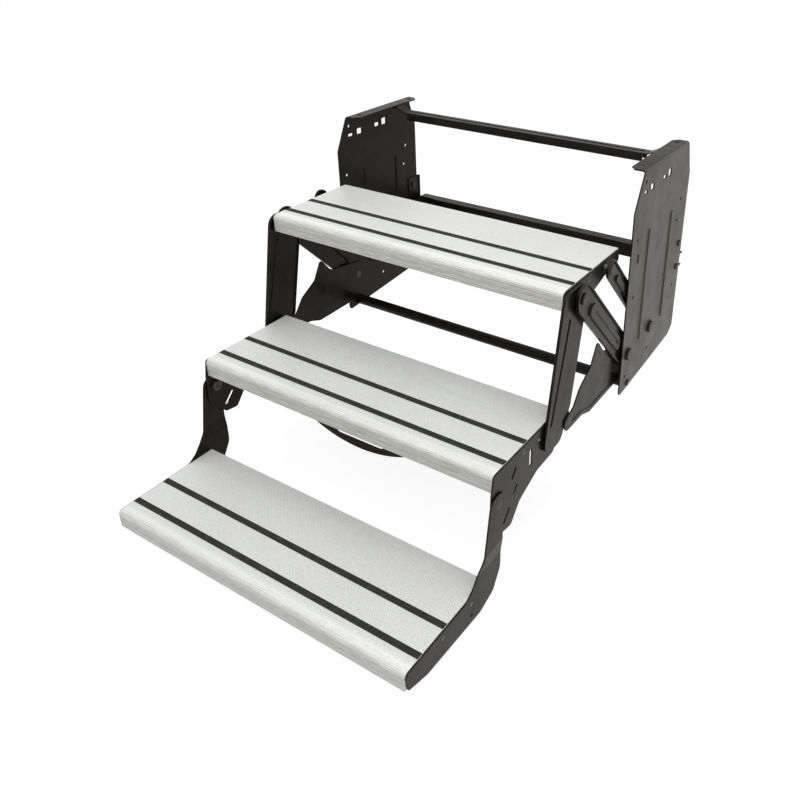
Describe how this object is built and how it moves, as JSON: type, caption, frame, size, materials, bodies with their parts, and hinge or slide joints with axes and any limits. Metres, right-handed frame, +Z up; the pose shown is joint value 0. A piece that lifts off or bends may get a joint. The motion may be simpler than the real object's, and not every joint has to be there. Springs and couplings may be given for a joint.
{
  "type": "camper entry step",
  "caption": "folding entry step for a camper: side plates carry level treads on parallel arms and legs, with a flip-over bottom tread",
  "frame": {"origin": "centre of the four bolt holes in the side plates' top flanges, on the flanges' upper face", "axes": "+X along the treads, +Y towards the vehicle so the treads step down towards -Y, +Z up out of the flanges"},
  "size_m": [0.6604, 0.928, 0.5798],
  "materials": {
    "black_paint": "satin black powder coat on pressed steel",
    "bracket_grey": "dull grey steel end plates",
    "tread_metal": "pale anodised extrusion, finely knurled on top and ribbed on the nose",
    "grip_rubber": "dark grey ribbed grip strips",
    "dark_fasteners": "blackened steel pins, rivets and bolts",
    "zinc_fasteners": "zinc-plated screws, nuts and spacers"
  },
  "bodies": {
    "frame": {"side_plate_left": "black_paint", "side_plate_right": "black_paint", "top_rear_bar": "black_paint", "top_bar_bolts": "dark_fasteners", "top_bar_nuts": "dark_fasteners", "rear_beam": "black_paint", "beam_bracket_left": "black_paint", "beam_bracket_right": "black_paint", "lower_cross_tube": "black_paint", "tube_bolts": "dark_fasteners", "bracket_bolts": "dark_fasteners", "beam_bolts": "dark_fasteners", "frame_pivot_bolts": "dark_fasteners", "frame_pivot_washers": "dark_fasteners", "frame_pivot_spacers": "zinc_fasteners"},
    "braces": {"brace_left": "black_paint", "brace_right": "black_paint"},
    "rear_links": {"rear_link_left": "black_paint", "rear_link_right": "black_paint"},
    "upper_step": {"upper_tread": "tread_metal", "upper_grip_strips": "grip_rubber", "upper_tread_screws": "zinc_fasteners", "upper_bracket_left": "bracket_grey", "upper_bracket_right": "bracket_grey", "upper_front_pivots": "dark_fasteners", "upper_rear_pivots": "dark_fasteners", "upper_pivot_nuts": "zinc_fasteners", "upper_pivot_spacers": "zinc_fasteners"},
    "front_legs": {"front_leg_left": "black_paint", "front_leg_right": "black_paint"},
    "middle_step": {"middle_tread": "tread_metal", "middle_grip_strips": "grip_rubber", "middle_tread_screws": "zinc_fasteners", "middle_bracket_left": "black_paint", "middle_bracket_right": "black_paint", "pull_handle": "black_paint", "handle_screws": "zinc_fasteners", "leg_pivots": "dark_fasteners", "leg_pivot_washers": "zinc_fasteners", "lower_hinge_pins": "dark_fasteners", "middle_pivot_nuts": "zinc_fasteners", "rear_leg_studs": "dark_fasteners"},
    "rear_legs": {"rear_leg_left": "black_paint", "rear_leg_right": "black_paint", "rear_leg_rivets": "dark_fasteners"},
    "lower_step": {"lower_tread": "tread_metal", "lower_grip_strips": "grip_rubber", "lower_tread_screws": "zinc_fasteners", "lower_arm_left": "black_paint", "lower_arm_right": "black_paint"}
  },
  "joints": [
    {"name": "step_fold", "type": "hinge", "parent": "frame", "child": "braces", "pos_m": [0, -0.114, -0.347], "axis": [-1, 0, 0], "range_deg": [0, 50]},
    {"name": "rear_link_swing", "type": "hinge", "parent": "frame", "child": "rear_links", "pos_m": [0, -0.014, -0.335], "axis": [-1, 0, 0], "range_deg": [0, 50]},
    {"name": "upper_tread_level", "type": "hinge", "parent": "braces", "child": "upper_step", "pos_m": [0, -0.304, -0.155], "axis": [-1, 0, 0], "range_deg": [-50, 0]},
    {"name": "front_leg_swing", "type": "hinge", "parent": "upper_step", "child": "front_legs", "pos_m": [0, -0.304, -0.155], "axis": [-1, 0, 0], "range_deg": [-50, 0]},
    {"name": "middle_tread_level", "type": "hinge", "parent": "front_legs", "child": "middle_step", "pos_m": [0, -0.374, -0.375], "axis": [-1, 0, 0], "range_deg": [0, 50]},
    {"name": "rear_leg_swing", "type": "hinge", "parent": "frame", "child": "rear_legs", "pos_m": [0, -0.114, -0.347], "axis": [-1, 0, 0], "range_deg": [0, 167.16]},
    {"name": "lower_step_flip", "type": "hinge", "parent": "middle_step", "child": "lower_step", "pos_m": [0, -0.538, -0.402], "axis": [-1, 0, 0], "range_deg": [0, 180]}
  ],
  "couplings": [
    {"joint": "rear_link_swing", "follows": "step_fold", "ratio": 1},
    {"joint": "upper_tread_level", "follows": "step_fold", "ratio": -1},
    {"joint": "front_leg_swing", "follows": "step_fold", "ratio": -1},
    {"joint": "middle_tread_level", "follows": "step_fold", "ratio": 1},
    {"joint": "rear_leg_swing", "follows": "step_fold", "ratio": 3.3433}
  ]
}
